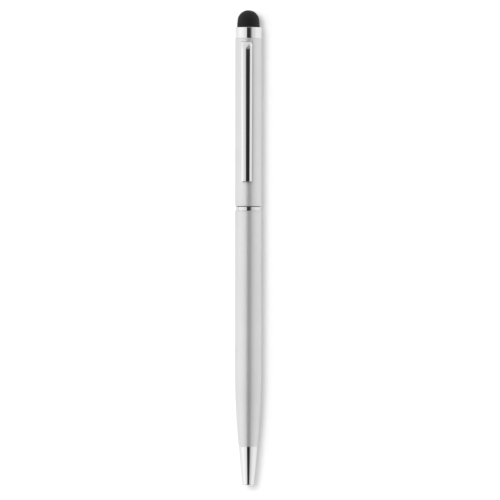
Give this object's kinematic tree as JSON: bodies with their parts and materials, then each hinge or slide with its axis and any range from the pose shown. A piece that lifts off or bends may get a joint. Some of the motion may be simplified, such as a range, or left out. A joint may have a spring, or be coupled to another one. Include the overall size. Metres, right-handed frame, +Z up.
{
  "type": "stylus pen",
  "caption": "Slim twist-action ballpoint pen with a rubber stylus dome, a chromed collar, spring clip, ring and nose, and satin silver barrels around a helical feed.",
  "frame": {"origin": "centre of the pen's footprint, on the surface that it lies on", "axes": "+X along the pen's axis towards the stylus end, +Z up through the clip"},
  "size_m": [0.135, 0.0074, 0.0088],
  "materials": {
    "satin_aluminium": "fine blasted and clear anodised, satin silver",
    "chrome_plate": "polished, bright chrome plate",
    "stylus_silicone": "moulded conductive silicone, matt black",
    "turned_brass": "turned, bare",
    "white_acetal": "moulded acetal",
    "black_nylon": "moulded nylon",
    "spring_steel": "bright drawn wire and strip",
    "nickel_silver": "drawn and turned nickel silver",
    "carbide": "ground tungsten carbide",
    "paste_ink": "dark blue ballpoint paste"
  },
  "bodies": {
    "lower_half": {"lower_barrel": "satin_aluminium", "nose_cone": "chrome_plate", "centre_ring": "chrome_plate", "thread_bush": "turned_brass", "mechanism_tube": "black_nylon", "retaining_ring": "spring_steel", "drag_washer": "black_nylon"},
    "twist_drive": {"twist_sleeve": "white_acetal", "twist_sleeve_cap": "white_acetal"},
    "upper_half": {"upper_barrel": "satin_aluminium", "friction_sleeve": "black_nylon", "clip_bush": "turned_brass", "top_collar": "chrome_plate", "stylus_tip": "stylus_silicone", "stylus_plug": "turned_brass"},
    "clip": {"clip": "chrome_plate"},
    "refill": {"carriage": "white_acetal", "carriage_pin": "spring_steel", "refill_adapter": "black_nylon", "refill_tube": "nickel_silver", "refill_point": "nickel_silver", "ink_column": "paste_ink"},
    "ball": {"refill_ball": "carbide"}
  },
  "joints": [
    {"name": "twist", "type": "hinge", "parent": "lower_half", "child": "twist_drive", "pos_m": [0.0117, 0, 0.00375], "axis": [-1, 0, 0], "range_deg": [0, 120]},
    {"name": "refill_feed", "type": "slide", "parent": "lower_half", "child": "refill", "axis": [-1, 0, 0], "range_m": [0, 0.0042]},
    {"name": "pull_off", "type": "slide", "parent": "twist_drive", "child": "upper_half", "axis": [1, 0, 0], "range_m": [0, 0.032]},
    {"name": "clip_flex", "type": "hinge", "parent": "upper_half", "child": "clip", "pos_m": [0.0583, 0, 0.0073], "axis": [0, 1, 0], "range_deg": [0, 3], "stiffness_Nm_per_rad": 1.5},
    {"name": "ball_roll", "type": "hinge", "parent": "refill", "child": "ball", "pos_m": [-0.0658, 0, 0.00375], "axis": [0, 1, 0], "continuous": true}
  ],
  "couplings": [
    {"joint": "twist", "follows": "refill_feed", "rad_per_m": 498.67}
  ]
}
